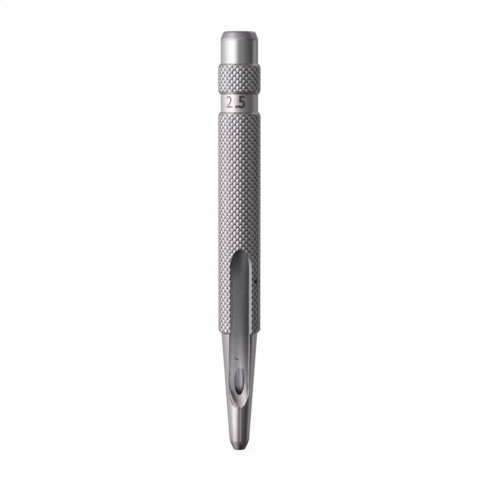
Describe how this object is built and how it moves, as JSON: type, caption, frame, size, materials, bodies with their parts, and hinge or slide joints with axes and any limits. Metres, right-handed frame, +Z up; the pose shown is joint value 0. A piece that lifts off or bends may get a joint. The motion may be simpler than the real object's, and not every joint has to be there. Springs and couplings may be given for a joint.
{
  "type": "hollow punch",
  "caption": "Slim steel hand punch with a struck head, diamond-knurled grip and collar, plain size band, and a slotted tapered nose with a bevelled hollow cutting tip.",
  "frame": {"origin": "centre of the cutting edge, at the mouth of the bore", "axes": "+Z up the axis to the striking face, slug slot opening towards -Y"},
  "size_m": [0.01, 0.01, 0.0998],
  "materials": {
    "turned_head": "fine turned and polished steel",
    "knurled_steel": "rolled diamond knurl, satin steel",
    "turned_steel": "turned satin steel",
    "hardened_edge": "ground edge, darkened by hardening"
  },
  "bodies": {
    "root": {"striking_head": "turned_head", "knurled_collar": "knurled_steel", "size_band": "turned_steel", "knurled_grip": "knurled_steel", "tapered_nose": "turned_steel", "cutting_tip": "hardened_edge"}
  },
  "joints": []
}
